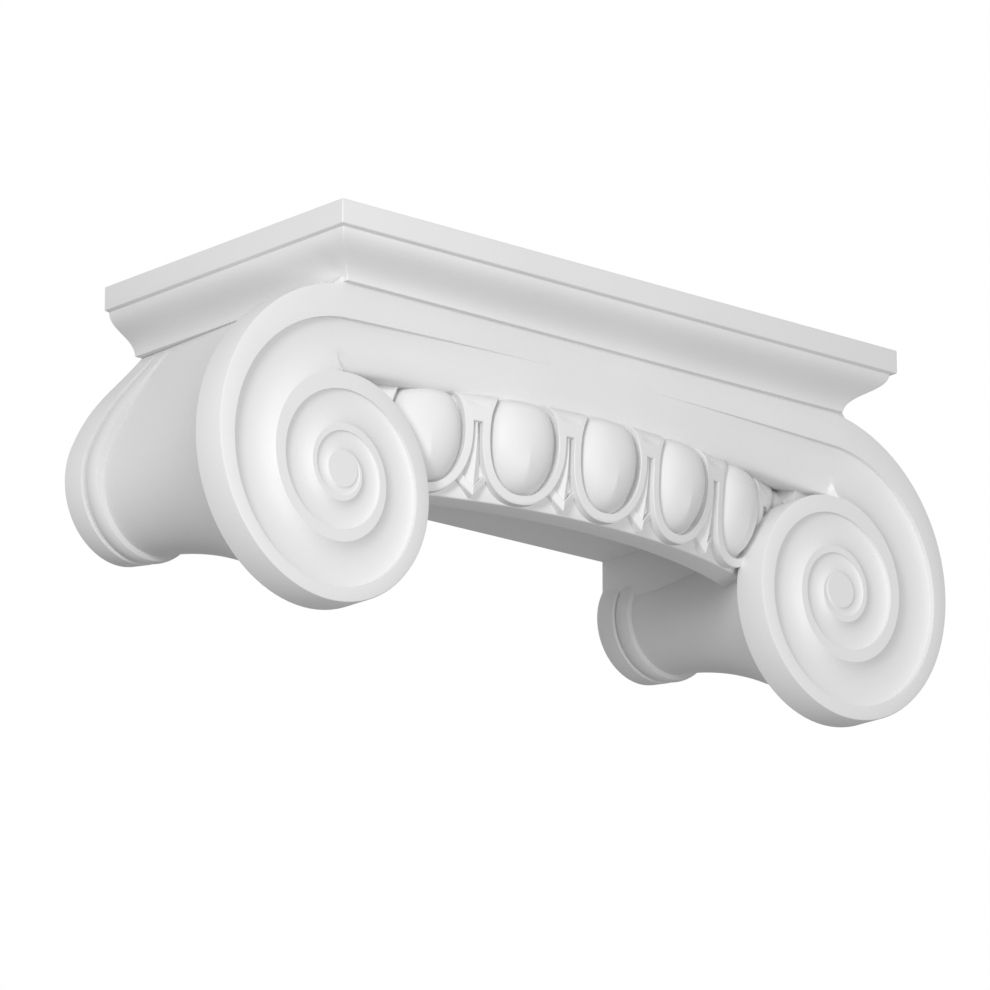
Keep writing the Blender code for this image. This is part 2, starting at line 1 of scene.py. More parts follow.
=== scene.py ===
"""Looks of the half column capital: the carving in full, plaster white, studio light."""

import math

import bmesh
import bpy
from mathutils import Matrix, Vector


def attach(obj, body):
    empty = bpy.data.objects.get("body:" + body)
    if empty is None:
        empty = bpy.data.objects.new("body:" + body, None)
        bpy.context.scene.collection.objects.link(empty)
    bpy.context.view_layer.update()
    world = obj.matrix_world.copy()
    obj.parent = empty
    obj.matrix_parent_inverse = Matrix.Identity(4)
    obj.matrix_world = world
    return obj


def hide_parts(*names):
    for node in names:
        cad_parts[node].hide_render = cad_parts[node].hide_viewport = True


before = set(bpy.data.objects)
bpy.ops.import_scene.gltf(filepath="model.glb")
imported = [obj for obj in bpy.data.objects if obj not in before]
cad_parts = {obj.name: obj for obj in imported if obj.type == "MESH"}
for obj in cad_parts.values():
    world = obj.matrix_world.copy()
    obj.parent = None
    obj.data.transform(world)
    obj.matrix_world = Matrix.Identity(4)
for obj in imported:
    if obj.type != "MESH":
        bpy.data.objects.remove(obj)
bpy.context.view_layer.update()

# Abacus
ABACUS_WIDTH = 0.300
ABACUS_DEPTH = 0.149
ABACUS_HEIGHT = 0.0262
FASCIA_HEIGHT = 0.010
FASCIA_STEP = 0.0022
FASCIA_LIP = 0.0004
TOP_FACE_INSET = 0.02
ABACUS_INSET = 0.016
CYMA_TOP_HANDLE = (0.045, 0.48)
CYMA_BOTTOM_HANDLE = (0.065, 0.50)
CYMA_STEPS = 28
CORNER_STEPS = 4

# Volutes and band
EYE_SETBACK = 0.0005
FACE_SETBACK = 0.0026
VOLUTE_RISE = 0.0759
EYE_RADIUS = 0.0073
RIM_DEPTH = 0.015
CHANNEL_DEPTH = 0.0042
BAND_DEPTH = 0.0215
BAND_PLAIN_SHARE = 0.1
TURN_SHARES = (1.0, 0.804, 0.710, 0.585, 0.526, 0.441, 0.388, 0.286, 0.242, 0.198, 0.172, 0.126)
FILLET_SHARES = (0.81, 0.709, 0.631, 0.491, 0.426, 0.378, 0.326, 0.246, 0.203, 0.171, 0.143, 0.114)
# Across a winding: share of its width from the fillet, share of its depth
CHANNEL_PROFILE = (
    (0.0, 0.0), (0.012, 0.46), (0.05, 0.58), (0.10, 0.70), (0.17, 0.82), (0.26, 0.92),
    (0.37, 0.985), (0.5, 1.0), (0.62, 0.95), (0.73, 0.83), (0.82, 0.66), (0.89, 0.46),
    (0.945, 0.26), (0.98, 0.10),
)
STEPS_PER_TURN = 96
BAND_COLUMNS = 64
# Distance from a volute's first column to the nearest column of the band
BAND_END_STEP = 0.0012
# Rows of the soffit under the band, and the profile point where it leaves the channel
SOFFIT_ROWS = 10
SOFFIT_FROM = 8
SOFFIT_BEND_SHARE = 0.1
SOFFIT_BEND_DROP = 0.0004
# Turn of the volute that points inwards, over the echinus
FREE_TURN = 0.75

# Bolsters
NECK_SCALE = 0.445
COLLAR_SCALE = 0.50
GROOVE_SCALE = 0.465
MOUTH_SCALE = 0.935
FLARE_POWER = 2.2
NECK_SHIFT_OUT = 0.0048
NECK_SHIFT_UP = 0.0139
COLLAR_WIDTH = 0.0105
GROOVE_WIDTH = 0.0008
RING_WIDTH = 0.0088
SHOULDER_INSET = 0.003
SHOULDER_ANGLE = math.radians(53.0)
MOUTH_ANGLE = math.radians(12.0)
SHOULDER_TURN = 55 / 360
SHOULDER_HANDLES = (0.42, 0.38)
SHOULDER_STEPS = 22
ROLL_STEPS = 84
BOLSTER_STATIONS = 34
RING_STATIONS = 11
RING_BULGE_POWER = 0.5
COLLAR_ROUND = 0.0006
# Collar's edge at the wall: distance from the wall, scale that the edge loses
COLLAR_WALL_EDGE = ((0.0, 0.006), (0.0004, 0.001), (0.0010, 0.0))
# Collar's edge at the groove: roundings before the edge, scale that the edge loses
COLLAR_GROOVE_EDGE = ((2, 0.0), (0.6, 0.003))
COLLAR_LIP_SHARE = 0.6
# Turn at which a section meets the socket's wall: least value, step of the search
SOCKET_TURN_LEAST = 0.75
SOCKET_TURN_STEP = 0.002
TANGENT_TURN = 0.01

# Socket
SOCKET_WIDTH = 0.2388
CEILING_DROP = 0.0030

# Echinus
ECHINUS_RADIUS = 0.2496
ECHINUS_SETBACK = 0.0016
ECHINUS_HEIGHT = 0.0369
ECHINUS_RISE = 0.0055
ECHINUS_THICKNESS = 0.012
ECHINUS_FLARE = 0.0056
ECHINUS_SWELL_SHARE = 0.74
CREST_ROUND = 0.0050
CREST_STEP = 0.0002
CREST_SINK = 0.006
CREST_LAP = 0.0008
NOTCH_HEIGHT = 0.0025
EGG_PITCH = 0.0424
EGG_HALF_WIDTH = 0.0146
EGG_WAIST_DROP = 0.0168
EGG_AXIS_SHARE = 0.35
EGG_CROWN = 0.0200
EGG_FOOT_GAP = 0.0047
EGG_BULGE = 0.0085
EGG_CREST_SHARE = 0.45
EGG_DOME_POWER = 2.2
FRAME_GAP = 0.0012
FRAME_WIDTH = 0.0034
FRAME_FOOT_GAP = 0.0002
FRAME_END_SHARE = 0.3
FRAME_RELIEF = 0.0042
SLOT_TOP_DROP = 0.0123
SLOT_WIDTH = 0.0036
DART_WIDTH = 0.0078
DART_RELIEF = 0.0036
BARB_WIDTH = 0.0126
BARB_HEIGHT = 0.0060
BARB_BAND = 0.0032
DART_FOOT_GAP = 0.0006
DART_TOP_WIDTH = 0.0032
DART_TOP_RELIEF = 0.0030
DART_EDGE = 0.0003
DART_STEPS = 16
# Shoulders of the shaft's ridge: shares of its half width and of its height
RIDGE_WIDTH_SHARE = 0.12
RIDGE_HEIGHT_SHARE = 0.93
HEAD_STEPS = 12
HEAD_BAND_SHARE = 1.25
HEAD_RIDGE_RISE = 0.0008
HEAD_WING_RISE = 0.0010
HEAD_LOW_ROUND = 0.0004
HEAD_HIGH_ROUND = 0.0003
OVAL_POWER = 2.25
EGG_SPOKES = 56
EGG_RINGS = 14
FRAME_SPOKES = 64
FRAME_ACROSS = 9
CELL_STEPS = 12
WALL_LEVELS = 12
# Rounding of the echinus' foot by angle, and of its crest by share of the rounding
FOOT_ARC = (0.0, 0.35, 0.75, 1.15, 0.5 * math.pi)
CREST_ARC = (0.8, 0.6, 0.4, 0.2, 0.1, 0.03, 0.0)

# Overlap of solids that are joined, and the roundings of their edges
SINK = 0.003
CORE_STEPS = 60
EDGE_ROUND = 0.0006
RELIEF_ROUND = 0.0003
RIM_ROUND = 0.0008
RIM_TRIM = 0.0003
RIM_ARC_SHARE = 0.3
RIM_MOST_SHARE = 0.4
ARC_STEPS = 3
ARC_MOST_SHARE = 0.45
WELD_DISTANCE = 1e-6
SHARP_ANGLE = math.radians(24)

# Coat: faint clouds of tint and roughness, and a fine grain
CLOUD_SCALE = 14.0
CLOUD_DETAIL = 3.0
TINT_STOPS = ((0.3, (0.800, 0.800, 0.802, 1.0)), (0.7, (0.825, 0.825, 0.826, 1.0)))
ROUGHNESS_RANGE = (0.46, 0.58)
GRAIN_SCALE = 900.0
GRAIN_DETAIL = 2.0
GRAIN_STRENGTH = 0.04
GRAIN_HEIGHT = 0.0002

# The floor lies far below, so that the underside is seen from any angle
FLOOR_Z = -4.0
FLOOR_SIZE = 60.0
FLOOR_SEEN = (0.85, 0.85, 0.85, 1.0)
FLOOR_THROWN = (0.60, 0.60, 0.60, 1.0)
# Light that the pale room gives, and the plain white that is seen behind the capital
ROOM_COLOR = (1.0, 1.0, 1.0, 1.0)
ROOM_STRENGTH = 0.5
BACKDROP_STRENGTH = 1.0
# Lights: name, place, width, power
LIGHTS = (
    ("key", (-1.9, -1.2, 0.15), 0.6, 20.0),
    ("front", (-0.6, -2.3, -0.75), 0.9, 17.5),
)
LIGHTS_AIM = (0.0, -0.07, -0.05)

# The photograph's camera
CAMERA_PLACE = (-1.80098, -2.12479, -0.84635)
CAMERA_YAW = math.radians(41.195)
CAMERA_PITCH = math.radians(16.294)
CAMERA_LENS = 254.79
CAMERA_SENSOR = 36.0
CAMERA_CLIP_END = 50.0

EYE_X = ABACUS_WIDTH / 2 - ABACUS_INSET - EYE_SETBACK
FACE_Y = -(ABACUS_DEPTH - ABACUS_INSET - FACE_SETBACK)
EYE_Z = -VOLUTE_RISE
BAND_BOTTOM = EYE_Z + VOLUTE_RISE * TURN_SHARES[4]
CEILING_Z = BAND_BOTTOM - CEILING_DROP
SOCKET_HALF = SOCKET_WIDTH / 2
TURNS = len(TURN_SHARES) / 4
SPIRAL_STEPS = round(TURNS * STEPS_PER_TURN)
ECHINUS_CENTRE_Y = ECHINUS_RADIUS + FACE_Y + ECHINUS_SETBACK
ECHINUS_TOP = BAND_BOTTOM + ECHINUS_RISE
CREST_RADIUS = ECHINUS_RADIUS + FRAME_RELIEF
FRAME_CREST = ECHINUS_TOP + CREST_STEP
EGG_CREST = FRAME_CREST + CREST_STEP
ECHINUS_BOTTOM = BAND_BOTTOM - ECHINUS_HEIGHT
PITCH_ANGLE = EGG_PITCH / (ECHINUS_RADIUS + ECHINUS_FLARE)
CELLS_EACH_SIDE = math.ceil(math.asin(EYE_X / ECHINUS_RADIUS) / PITCH_ANGLE - 0.5)


def lerp(a, b, t):
    """Value at share t of the way from a to b."""
    return a + (b - a) * t


def smooth(t):
    """Share t eased in and out, held at its ends."""
    t = min(max(t, 0.0), 1.0)
    return t * t * (3 - 2 * t)


def bezier(p0, p1, p2, p3, t):
    """Point of a cubic curve in two dimensions."""
    s = 1 - t
    weights = (s * s * s, 3 * s * s * t, 3 * s * t * t, t * t * t)
    return tuple(sum(w * p[k] for w, p in zip(weights, (p0, p1, p2, p3))) for k in (0, 1))


def rounded(points, index, radius):
    """Points of a round edge that replaces corner number index of an open profile."""
    a, b, c = (Vector(points[index + k]) for k in (-1, 0, 1))
    back, ahead = (a - b).normalized(), (c - b).normalized()
    reach = min(radius, (a - b).length * ARC_MOST_SHARE, (c - b).length * ARC_MOST_SHARE)
    p0, p2 = b + back * reach, b + ahead * reach
    result = []
    for k in range(ARC_STEPS + 1):
        t = k / ARC_STEPS
        result.append(tuple(p0 * (1 - t) ** 2 + b * 2 * t * (1 - t) + p2 * t * t))
    return result


def make_mesh(name, verts, faces):
    """Closed mesh object with its faces turned outwards."""
    mesh = bpy.data.meshes.new(name)
    mesh.from_pydata(verts, [], faces)
    bm = bmesh.new()
    bm.from_mesh(mesh)
    bmesh.ops.remove_doubles(bm, verts=bm.verts, dist=WELD_DISTANCE)
    bmesh.ops.recalc_face_normals(bm, faces=bm.faces)
    bm.to_mesh(mesh)
    bm.free()
    item = bpy.data.objects.new(name, mesh)
    bpy.context.scene.collection.objects.link(item)
    return item


def loft(rings):
    """Vertices and faces of a solid through closed rings of equal length."""
    count = len(rings[0])
    verts = [point for ring in rings for point in ring]
    faces = []
    for r in range(len(rings) - 1):
        for k in range(count):
            n = (k + 1) % count
            faces.append((r * count + k, r * count + n, (r + 1) * count + n, (r + 1) * count + k))
    faces.append(tuple(range(count)))
    faces.append(tuple(range((len(rings) - 1) * count, len(rings) * count)))
    return verts, faces


def quarter_curve(shares, turn):
    """Smooth spiral radius through the shares given at each quarter turn."""
    logs = [math.log(s * VOLUTE_RISE) for s in shares] + [math.log(EYE_RADIUS)]
    position = min(max(turn * 4, 0.0), len(logs) - 1)
    k = min(int(position), len(logs) - 2)
    t = position - k
    p0 = logs[max(k - 1, 0)] if k else 2 * logs[0] - logs[1]
    p1, p2 = logs[k], logs[k + 1]
    p3 = logs[k + 2] if k + 2 < len(logs) else p2
    m1, m2 = (p2 - p0) / 2, (p3 - p1) / 2
    a = 2 * t ** 3 - 3 * t ** 2 + 1
    b = t ** 3 - 2 * t ** 2 + t
    c = -2 * t ** 3 + 3 * t ** 2
    d = t ** 3 - t ** 2
    return math.exp(a * p1 + b * m1 + c * p2 + d * m2)


def turn_radius(turn):
    """Outer edge of the fillet, turn counted from the top of the volute."""
    return quarter_curve(TURN_SHARES, turn)


def fillet_radius(turn):
    """Inner edge of the fillet, where the channel starts."""
    return min(quarter_curve(FILLET_SHARES, turn), turn_radius(turn))


def channel_rows(outer, fillet, inner):
    """(radius, depth) across one winding, from the fillet to the channel's end."""
    width = fillet - inner
    full = EYE_Z + VOLUTE_RISE * FILLET_SHARES[0] - BAND_BOTTOM
    depth = CHANNEL_DEPTH * width / full
    flat = max(outer - fillet, 0.0)
    rows = [(outer, 0.0)]
    lip = min(RIM_ROUND, flat * RIM_MOST_SHARE)
    rows += [(outer - lip * share, 0.0) for share in (RIM_ARC_SHARE, 1.0)]
    return rows + [(fillet - width * u, depth * d) for u, d in CHANNEL_PROFILE]


def crest_front(x):
    """How far in front of the wall the echinus' crest stands at x."""
    return ECHINUS_CENTRE_Y - math.sqrt(max(CREST_RADIUS ** 2 - x ** 2, 0.0))


def band_foot(x):
    """Level of the band's lower front edge, lower towards the volutes."""
    return lerp(ECHINUS_TOP, BAND_BOTTOM, (x / EYE_X) ** 2)


def band_column(x, end_rows):
    """(y, z) down the band at x: fillet, channel, then back to the echinus."""
    fade = smooth((abs(x) / EYE_X - BAND_PLAIN_SHARE) / (1 - BAND_PLAIN_SHARE))
    foot = band_foot(x)
    top = end_rows[0][1]
    stretch = (top - foot) / (top - BAND_BOTTOM)
    rows = [(FACE_Y + depth * fade, top - (top - z) * stretch) for depth, z in end_rows]
    y, z = rows[-1]
    z_end = ECHINUS_TOP - CREST_LAP
    y_end = max(crest_front(x), FACE_Y) + CREST_SINK
    y_end = min(y_end, FACE_Y + BAND_DEPTH - CREST_STEP)
    bend = (y + (y_end - y) * SOFFIT_BEND_SHARE, foot - SOFFIT_BEND_DROP)
    for k in range(1, SOFFIT_ROWS):
        t = k / SOFFIT_ROWS
        rows.append(bezier((y, z), bend, bend, (y_end, z_end), t))
    return rows + [(y_end, z_end)]



def volute_points(side, verts):
    """Adds one volute's points; their numbers along the spiral, and round the eye."""
    table = []
    for i in range(SPIRAL_STEPS):
        turn = i / STEPS_PER_TURN
        outer = turn_radius(turn) - (RIM_TRIM if i <= STEPS_PER_TURN else 0.0)
        inner = turn_radius(turn + 1) if turn + 1 <= TURNS else EYE_RADIUS
        rows = channel_rows(outer, fillet_radius(turn), inner)
        if i <= STEPS_PER_TURN:
            rows[0] = (outer, RIM_ROUND)
            rows[1] = (outer - RIM_ROUND * RIM_ARC_SHARE, RIM_ROUND * RIM_ARC_SHARE)
        if i == 0:
            rows[0] = (outer + SINK, 0.0)
        column = []
        for radius, depth in rows:
            x = side * (EYE_X + radius * math.sin(2 * math.pi * turn))
            z = EYE_Z + radius * math.cos(2 * math.pi * turn)
            column.append(len(verts))
            verts.append((x, FACE_Y + depth, z))
        table.append(column)
    eye = []
    for i in range(STEPS_PER_TURN):
        angle = 2 * math.pi * i / STEPS_PER_TURN
        eye.append(len(verts))
        x = side * (EYE_X + EYE_RADIUS * math.sin(angle))
        verts.append((x, FACE_Y, EYE_Z + EYE_RADIUS * math.cos(angle)))
    return table, eye


def volute_vertex(volute, i, j):
    """Point j across step i; past the column it is the next winding's or the eye's."""
    table, eye = volute
    if i >= SPIRAL_STEPS:
        return eye[i % STEPS_PER_TURN]
    if j < len(table[i]):
        return table[i][j]
    i += STEPS_PER_TURN
    return table[i][0] if i < SPIRAL_STEPS else eye[i % STEPS_PER_TURN]


def add_face(faces, corners):
    """Face through those corners that differ."""
    loop = []
    for corner in corners:
        if corner not in loop:
            loop.append(corner)
    if len(loop) > 2:
        faces.append(tuple(loop))


def band_columns(volutes, row_count, verts):
    """Adds the band's points; their columns, between the volutes' first columns."""
    kept = row_count + 1 - (len(CHANNEL_PROFILE) - SOFFIT_FROM)
    ends = []
    for side in (-1, 1):
        column = [volute_vertex(volutes[side], 0, j) for j in range(row_count + 1)]
        ends.append(column + [column[-1]] * (kept + SOFFIT_ROWS - len(column)))
    end_rows = [(verts[k][1] - FACE_Y, verts[k][2]) for k in ends[0][:kept]]
    reach = EYE_X - BAND_END_STEP
    columns = [ends[0]]
    for q in range(BAND_COLUMNS + 1):
        x = lerp(-reach, reach, q / BAND_COLUMNS)
        column = []
        for y, z in band_column(x, end_rows):
            column.append(len(verts))
            verts.append((x, y, z))
        columns.append(column)
    return columns + [ends[1]]


def behind(verts, vert, depth):
    """Adds a point straight behind another, at a depth from the plate's face."""
    x, _, z = verts[vert]
    verts.append((x, FACE_Y + depth, z))
    return len(verts) - 1


def close_plate(verts, faces, rims, columns):
    """Rims and backs of the disks, then the band's top, underside and back."""
    closing = {}
    for side, rim in rims.items():
        back = [behind(verts, vert, RIM_DEPTH) for vert in rim]
        for k in range(STEPS_PER_TURN):
            faces.append((rim[k], rim[k + 1], back[k + 1], back[k]))
        faces.append(tuple(back))
        column = columns[0] if side < 0 else columns[-1]
        high = behind(verts, column[0], BAND_DEPTH)
        low = behind(verts, column[-1], BAND_DEPTH)
        closing[side] = (back, high, low)
        faces.append((back[0], back[-1], low, high))
    tops = [behind(verts, column[0], BAND_DEPTH) for column in columns[1:-1]]
    lows = [behind(verts, column[-1], BAND_DEPTH) for column in columns[1:-1]]
    left_back, left_top, left_low = closing[-1]
    right_back, right_top, right_low = closing[1]
    tops = [left_top] + tops + [right_top]
    lows = [left_low] + lows + [right_low]
    for k in range(len(columns) - 1):
        front_top = [columns[k][0], columns[k + 1][0]]
        front_low = [columns[k][-1], columns[k + 1][-1]]
        near_top, near_low = [], []
        if k == 0:
            near_top, near_low = [left_back[0]], [left_back[-1]]
        far_top, far_low = [], []
        if k == len(columns) - 2:
            far_top, far_low = [right_back[0]], [right_back[-1]]
        faces.append(tuple(front_top + far_top + [tops[k + 1], tops[k]] + near_top))
        faces.append(tuple(front_low + far_low + [lows[k + 1], lows[k]] + near_low))
        faces.append((tops[k], tops[k + 1], lows[k + 1], lows[k]))


def front_plate():
    """Both volutes and the band between them, with the spiral channels."""
    verts = []
    faces = []
    volutes = {}
    for side in (-1, 1):
        volutes[side] = volute_points(side, verts)
        faces.append(tuple(volutes[side][1]))
    row_count = len(volutes[1][0][0])

    for volute in volutes.values():
        for i in range(SPIRAL_STEPS):
            for j in range(row_count):
                places = ((i, j), (i + 1, j), (i + 1, j + 1), (i, j + 1))
                add_face(faces, [volute_vertex(volute, *place) for place in places])

    columns = band_columns(volutes, row_count, verts)
    for left, right in zip(columns, columns[1:]):
        for j in range(len(left) - 1):
            add_face(faces, (left[j], right[j], right[j + 1], left[j + 1]))

    rims = {}
    for side, volute in volutes.items():
        rims[side] = [volute_vertex(volute, i, 0) for i in range(STEPS_PER_TURN + 1)]
    close_plate(verts, faces, rims, columns)
    return make_mesh("front_plate", verts, faces)


def bolster_section(y, scale, side):
    """Section of a bolster: shoulder under the abacus, roll, socket wall."""
    reach = -(FACE_Y + RIM_DEPTH)
    run = min(max(-y / reach, 0.0), 1.0)
    cx = lerp(EYE_X + NECK_SHIFT_OUT, EYE_X, run)
    cz = lerp(EYE_Z + NECK_SHIFT_UP, EYE_Z, run)
    flare = max(scale - NECK_SCALE, 0.0) / (MOUTH_SCALE - NECK_SCALE)

    def outline(turn):
        radius = turn_radius(turn) * scale
        angle = 2 * math.pi * turn
        return cx + radius * math.sin(angle), cz + radius * math.cos(angle)

    start = SHOULDER_TURN
    end = 1.0
    while end > SOCKET_TURN_LEAST and outline(end)[0] > SOCKET_HALF:
        end -= SOCKET_TURN_STEP
    high = outline(start)
    ahead = outline(start + TANGENT_TURN)
    slope = math.hypot(ahead[0] - high[0], ahead[1] - high[1])
    tangent = ((ahead[0] - high[0]) / slope, (ahead[1] - high[1]) / slope)
    foot = (lerp(EYE_X - SHOULDER_INSET, EYE_X + SHOULDER_INSET / 2, run), 0.0)
    angle = lerp(SHOULDER_ANGLE, MOUTH_ANGLE, flare)
    span = math.hypot(high[0] - foot[0], high[1] - foot[1])
    low_pull, high_pull = (share * span for share in SHOULDER_HANDLES)
    first = (foot[0] + low_pull * math.cos(angle), foot[1] - low_pull * math.sin(angle))
    second = (high[0] - high_pull * tangent[0], high[1] - high_pull * tangent[1])
    points = [(SOCKET_HALF, SINK), (foot[0], SINK)]
    points += [
        bezier(foot, first, second, high, k / SHOULDER_STEPS) for k in range(SHOULDER_STEPS)
    ]
    points += [outline(lerp(start, end, k / ROLL_STEPS)) for k in range(ROLL_STEPS)]
    points.append((SOCKET_HALF, outline(end)[1]))
    return [(side * x, y, z) for x, z in points]


def bolster(side):
    """Trumpet-shaped roll from the disk back to two bands at the wall."""
    ring_end = COLLAR_WIDTH + GROOVE_WIDTH + RING_WIDTH
    stations = [(-setback, COLLAR_SCALE - loss) for setback, loss in COLLAR_WALL_EDGE]
    stations += [
        (-COLLAR_WIDTH + rounds * COLLAR_ROUND, COLLAR_SCALE - loss)
        for rounds, loss in COLLAR_GROOVE_EDGE
    ]
    stations += [
        (-COLLAR_WIDTH, lerp(GROOVE_SCALE, COLLAR_SCALE, COLLAR_LIP_SHARE)),
        (-COLLAR_WIDTH - GROOVE_WIDTH / 4, GROOVE_SCALE),
        (-COLLAR_WIDTH - GROOVE_WIDTH, GROOVE_SCALE),
    ]
    for k in range(1, RING_STATIONS + 1):
        across = k / (RING_STATIONS + 1)
        bulge = math.sin(math.pi * across) ** RING_BULGE_POWER
        scale = lerp(GROOVE_SCALE, COLLAR_SCALE, bulge)
        stations.append((-COLLAR_WIDTH - GROOVE_WIDTH - RING_WIDTH * across, scale))
    stations.append((-ring_end, NECK_SCALE))
    mouth = -(FACE_Y + RIM_DEPTH) + SINK
    for k in range(1, BOLSTER_STATIONS + 1):
        t = k / BOLSTER_STATIONS
        y = -lerp(ring_end, mouth, t)
        stations.append((y, lerp(NECK_SCALE, MOUTH_SCALE, t ** FLARE_POWER)))
    rings = [bolster_section(y, scale, side) for y, scale in stations]
    return make_mesh("bolster", *loft(rings))


def abacus():
    """Plate with a vertical fascia over a cyma that runs round three sides."""
    top = (FASCIA_STEP, ABACUS_HEIGHT - FASCIA_HEIGHT - FASCIA_LIP)
    bottom = (ABACUS_INSET, 0.0)
    height = top[1] - bottom[1]
    width = bottom[0] - top[0]
    first = (top[0] + CYMA_TOP_HANDLE[0] * width, top[1] - CYMA_TOP_HANDLE[1] * height)
    second = (
        bottom[0] - CYMA_BOTTOM_HANDLE[0] * width, bottom[1] + CYMA_BOTTOM_HANDLE[1] * height,
    )
    edges = [
        (TOP_FACE_INSET, ABACUS_HEIGHT), (0.0, ABACUS_HEIGHT),
        (0.0, ABACUS_HEIGHT - FASCIA_HEIGHT), top,
    ]
    profile = rounded(edges, 1, EDGE_ROUND) + rounded(edges, 2, EDGE_ROUND)
    profile += [bezier(top, first, second, bottom, k / CYMA_STEPS) for k in range(CYMA_STEPS + 1)]
    rings = []
    for inset, z in profile:
        x = ABACUS_WIDTH / 2 - inset
        y = -(ABACUS_DEPTH - inset)
        corner = []
        for k in range(CORNER_STEPS + 1):
            angle = 0.5 * math.pi * k / CORNER_STEPS
            corner.append((EDGE_ROUND * (1 - math.sin(angle)), EDGE_ROUND * (1 - math.cos(angle))))
        ring = [(-x, 0.0, z)]
        ring += [(-x + b, y + a, z) for a, b in corner]
        ring += [(x - b, y + a, z) for a, b in reversed(corner)]
        ring.append((x, 0.0, z))
        rings.append(ring)
    return make_mesh("abacus", *loft(rings))


def core_above():
    """Body between the bolsters, from the echinus' crest up to the abacus."""
    x = SOCKET_HALF + SINK / 2
    front = FACE_Y + BAND_DEPTH - SINK
    rings = []
    for z in (SINK, ECHINUS_TOP + NOTCH_HEIGHT):
        rings.append([(-x, 0.0, z), (-x, front, z), (x, front, z), (x, 0.0, z)])
    return make_mesh("core_above", *loft(rings))


def core_below():
    """Body behind the echinus; its underside is the socket's ceiling."""
    edge = SOCKET_HALF + SINK / 2
    radius = ECHINUS_RADIUS - ECHINUS_THICKNESS / 2
    rings = []
    for z in (ECHINUS_TOP + NOTCH_HEIGHT + SINK, CEILING_Z):
        ring = [(edge, 0.0, z), (-edge, 0.0, z)]
        for k in range(CORE_STEPS + 1):
            x = lerp(-edge, edge, k / CORE_STEPS)
            ring.append((x, ECHINUS_CENTRE_Y - math.sqrt(radius ** 2 - x ** 2), z))
        rings.append(ring)
    return make_mesh("core_below", *loft(rings))


def crest_fall(z):
    """Share by which the crest has rounded back at z, 0 below the rounding."""
    up = min(max((z - ECHINUS_TOP) / CREST_ROUND + 1, 0.0), 1.0)
    return 1 - math.sqrt(1 - up * up)


def ground_radius(z):
    """Radius of the echinus' ground, which swells from the foot and rounds back."""
    rise = (z - ECHINUS_BOTTOM) / (ECHINUS_TOP - ECHINUS_BOTTOM)
    swell = math.sin(0.5 * math.pi * min(max(rise / ECHINUS_SWELL_SHARE, 0.0), 1.0))
    return ECHINUS_RADIUS + ECHINUS_FLARE * (swell - crest_fall(z))


def on_echinus(centre, arc, z, height):
    """World point: arc length from a cell's centre, level and relief height."""
    radius = ground_radius(z)
    angle = centre + arc / (ECHINUS_RADIUS + ECHINUS_FLARE)
    radius += height
    return (radius * math.sin(angle), ECHINUS_CENTRE_Y - radius * math.cos(angle), z)


def echinus_ring():
    """Plain curved wall that carries the ornament."""
    reach = (CELLS_EACH_SIDE + 0.5) * PITCH_ANGLE
    steps = (2 * CELLS_EACH_SIDE + 1) * CELL_STEPS + 1
    inner = ECHINUS_RADIUS - ECHINUS_THICKNESS
    section = [
        (ECHINUS_BOTTOM + EDGE_ROUND * (1 - math.cos(a)), -(EDGE_ROUND * (1 - math.sin(a))))
        for a in FOOT_ARC
    ]
    low, high = ECHINUS_BOTTOM + EDGE_ROUND, ECHINUS_TOP - CREST_ROUND
    section += [(lerp(low, high, k / WALL_LEVELS), 0.0) for k in range(1, WALL_LEVELS + 1)]
    section += [(ECHINUS_TOP - CREST_ROUND * share, 0.0) for share in CREST_ARC]
    rings = []
    for s in range(steps + 1):
        angle = lerp(-reach, reach, s / steps)
        ring = [on_echinus(angle, 0.0, z, height) for z, height in section]
        for z in (ECHINUS_TOP, ECHINUS_BOTTOM):
            ring.append((inner * math.sin(angle), ECHINUS_CENTRE_Y - inner * math.cos(angle), z))
        rings.append(ring)
    return make_mesh("echinus_ring", *loft(rings))


def oval(half_width, crown, foot, crest, t):
    """Point of an egg-shaped curve cut off at its crest, from there round its foot."""
    waist = ECHINUS_TOP - EGG_WAIST_DROP
    open_angle = math.asin(min((crest - waist) / crown, 1.0) ** (OVAL_POWER / 2))
    angle = lerp(math.pi - open_angle, 2 * math.pi + open_angle, t)
    c, s = math.cos(angle), math.sin(angle)
    x = math.copysign(abs(c) ** (2 / OVAL_POWER), c) * half_width
    reach = crown if s > 0 else waist - foot
    return x, waist + math.copysign(abs(s) ** (2 / OVAL_POWER), s) * reach


